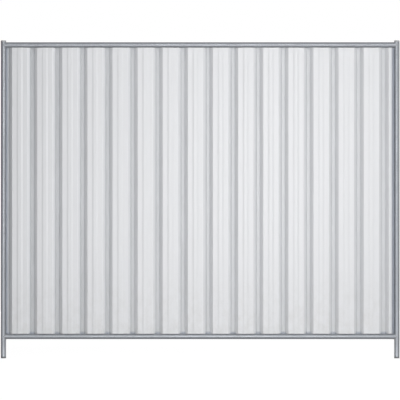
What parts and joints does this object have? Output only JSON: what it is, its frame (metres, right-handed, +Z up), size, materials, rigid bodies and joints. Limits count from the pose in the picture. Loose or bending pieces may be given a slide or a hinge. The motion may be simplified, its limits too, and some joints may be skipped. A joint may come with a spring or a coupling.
{
  "type": "temporary fence panel",
  "caption": "Opaque temporary fence panel: a welded frame of galvanised round tube with short plug-in legs, filled with vertically ribbed pale steel sheet.",
  "frame": {"origin": "on the ground, midway between the two legs, in the plane of the tube axes", "axes": "+X along the fence to the viewer's right, +Y to the back of the panel, +Z up; the front faces -Y"},
  "size_m": [2.51, 0.0378, 2],
  "materials": {
    "galvanised_tube": "satin",
    "weld_metal": "satin",
    "flat_bar": "satin",
    "ribbed_sheet": "satin",
    "rivets": "satin",
    "cap_plastic": "satin",
    "foot_plastic": "matte"
  },
  "bodies": {
    "root": {"left_post": "galvanised_tube", "right_post": "galvanised_tube", "top_rail": "galvanised_tube", "bottom_rail": "galvanised_tube", "top_left_weld": "weld_metal", "top_right_weld": "weld_metal", "bottom_left_weld": "weld_metal", "bottom_right_weld": "weld_metal", "top_fixing_strip": "flat_bar", "bottom_fixing_strip": "flat_bar", "left_fixing_strip": "flat_bar", "right_fixing_strip": "flat_bar", "top_strip_welds": "weld_metal", "bottom_strip_welds": "weld_metal", "left_strip_welds": "weld_metal", "right_strip_welds": "weld_metal", "left_sheet": "ribbed_sheet", "middle_sheet": "ribbed_sheet", "right_sheet": "ribbed_sheet", "top_rivets": "rivets", "bottom_rivets": "rivets", "left_edge_rivets": "rivets", "right_edge_rivets": "rivets", "lap_rivets": "rivets", "top_left_plug": "cap_plastic", "top_right_plug": "cap_plastic", "left_foot_plug": "foot_plastic", "right_foot_plug": "foot_plastic"}
  },
  "joints": []
}
